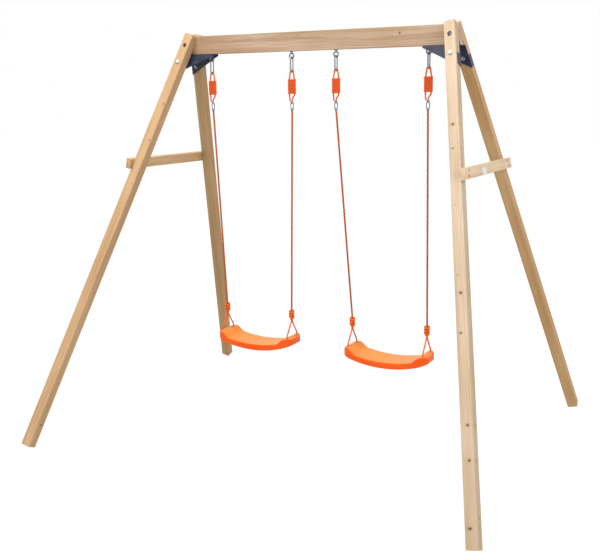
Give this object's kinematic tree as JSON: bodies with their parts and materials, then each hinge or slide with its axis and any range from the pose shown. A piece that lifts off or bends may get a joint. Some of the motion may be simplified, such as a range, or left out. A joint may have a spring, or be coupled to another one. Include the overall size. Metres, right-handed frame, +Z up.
{
  "type": "swing set",
  "caption": "Wooden swing set: splayed A-frame legs and a top beam carry moulded seats on adjustable ropes that hang from eye bolts by snap hooks",
  "frame": {"origin": "on the ground, in the middle of the four feet", "axes": "X along the beam, -Y to the front, Z up"},
  "size_m": [2.3134, 1.8568, 2.0125],
  "materials": {
    "timber": "planed softwood, pressure treated, dry",
    "timber_brace": "planed softwood board, dry",
    "black_steel": "black powder coat, half gloss",
    "zinc_steel": "zinc plated",
    "white_plastic": "moulded, half matte",
    "blank_label": "blank, smooth",
    "orange_rope": "twisted polypropylene rope",
    "orange_block": "moulded, half gloss",
    "orange_seat": "moulded, half gloss"
  },
  "bodies": {
    "frame": {"top_beam": "timber", "leg_front_left": "timber", "leg_front_right": "timber", "leg_rear_left": "timber", "leg_rear_right": "timber", "cross_brace_left": "timber_brace", "cross_brace_right": "timber_brace", "corner_bracket_left": "black_steel", "corner_bracket_right": "black_steel", "leg_bolts": "zinc_steel", "leg_bolt_nuts": "zinc_steel", "leg_bolt_washers": "zinc_steel", "bracket_bolts": "zinc_steel", "bracket_bolt_caps": "white_plastic", "bracket_nuts": "zinc_steel", "bracket_screws": "zinc_steel", "brace_screws": "zinc_steel", "label_plate": "blank_label", "eye_bolts": "zinc_steel", "eye_washers": "zinc_steel", "eye_nuts": "zinc_steel"},
    "hooks_left": {"snap_hook_1": "zinc_steel", "snap_hook_2": "zinc_steel"},
    "ropes_left": {"adjuster_loop_1": "orange_rope", "adjuster_block_1": "orange_block", "link_ring_1": "zinc_steel", "rope_1": "orange_rope", "adjuster_loop_2": "orange_rope", "adjuster_block_2": "orange_block", "link_ring_2": "zinc_steel", "rope_2": "orange_rope", "ferrules_left": "zinc_steel"},
    "seat_left": {"wrap_knot_1": "orange_rope", "bridle_1": "orange_rope", "wrap_knot_2": "orange_rope", "bridle_2": "orange_rope", "seat_left": "orange_seat", "stop_knots_left": "orange_rope"},
    "hooks_right": {"snap_hook_3": "zinc_steel", "snap_hook_4": "zinc_steel"},
    "ropes_right": {"adjuster_loop_3": "orange_rope", "adjuster_block_3": "orange_block", "link_ring_3": "zinc_steel", "rope_3": "orange_rope", "adjuster_loop_4": "orange_rope", "adjuster_block_4": "orange_block", "link_ring_4": "zinc_steel", "rope_4": "orange_rope", "ferrules_right": "zinc_steel"},
    "seat_right": {"wrap_knot_3": "orange_rope", "bridle_3": "orange_rope", "wrap_knot_4": "orange_rope", "bridle_4": "orange_rope", "seat_right": "orange_seat", "stop_knots_right": "orange_rope"},
    "gate_1": {"hook_gate_1": "zinc_steel"},
    "gate_2": {"hook_gate_2": "zinc_steel"},
    "gate_3": {"hook_gate_3": "zinc_steel"},
    "gate_4": {"hook_gate_4": "zinc_steel"}
  },
  "joints": [
    {"name": "swing_left", "type": "hinge", "parent": "frame", "child": "hooks_left", "pos_m": [-0.352, 0, 1.87], "axis": [1, 0, 0], "range_deg": [-60, 60]},
    {"name": "rope_left", "type": "hinge", "parent": "hooks_left", "child": "ropes_left", "pos_m": [-0.352, 0, 1.8188], "axis": [1, 0, 0], "range_deg": [-15, 15]},
    {"name": "seat_tilt_left", "type": "hinge", "parent": "ropes_left", "child": "seat_left", "pos_m": [-0.352, 0, 0.604], "axis": [1, 0, 0], "range_deg": [-12, 12]},
    {"name": "swing_right", "type": "hinge", "parent": "frame", "child": "hooks_right", "pos_m": [0.352, 0, 1.87], "axis": [1, 0, 0], "range_deg": [-60, 60]},
    {"name": "rope_right", "type": "hinge", "parent": "hooks_right", "child": "ropes_right", "pos_m": [0.352, 0, 1.8188], "axis": [1, 0, 0], "range_deg": [-15, 15]},
    {"name": "seat_tilt_right", "type": "hinge", "parent": "ropes_right", "child": "seat_right", "pos_m": [0.352, 0, 0.604], "axis": [1, 0, 0], "range_deg": [-12, 12]},
    {"name": "gate_1", "type": "hinge", "parent": "hooks_left", "child": "gate_1", "pos_m": [-0.584, 0.0125, 1.8268], "axis": [1, 0, 0], "range_deg": [0, 24], "stiffness_Nm_per_rad": 0.05, "springref_deg": -17.19},
    {"name": "gate_2", "type": "hinge", "parent": "hooks_left", "child": "gate_2", "pos_m": [-0.12, 0.0125, 1.8268], "axis": [1, 0, 0], "range_deg": [0, 24], "stiffness_Nm_per_rad": 0.05, "springref_deg": -17.19},
    {"name": "gate_3", "type": "hinge", "parent": "hooks_right", "child": "gate_3", "pos_m": [0.12, 0.0125, 1.8268], "axis": [1, 0, 0], "range_deg": [0, 24], "stiffness_Nm_per_rad": 0.05, "springref_deg": -17.19},
    {"name": "gate_4", "type": "hinge", "parent": "hooks_right", "child": "gate_4", "pos_m": [0.584, 0.0125, 1.8268], "axis": [1, 0, 0], "range_deg": [0, 24], "stiffness_Nm_per_rad": 0.05, "springref_deg": -17.19}
  ]
}
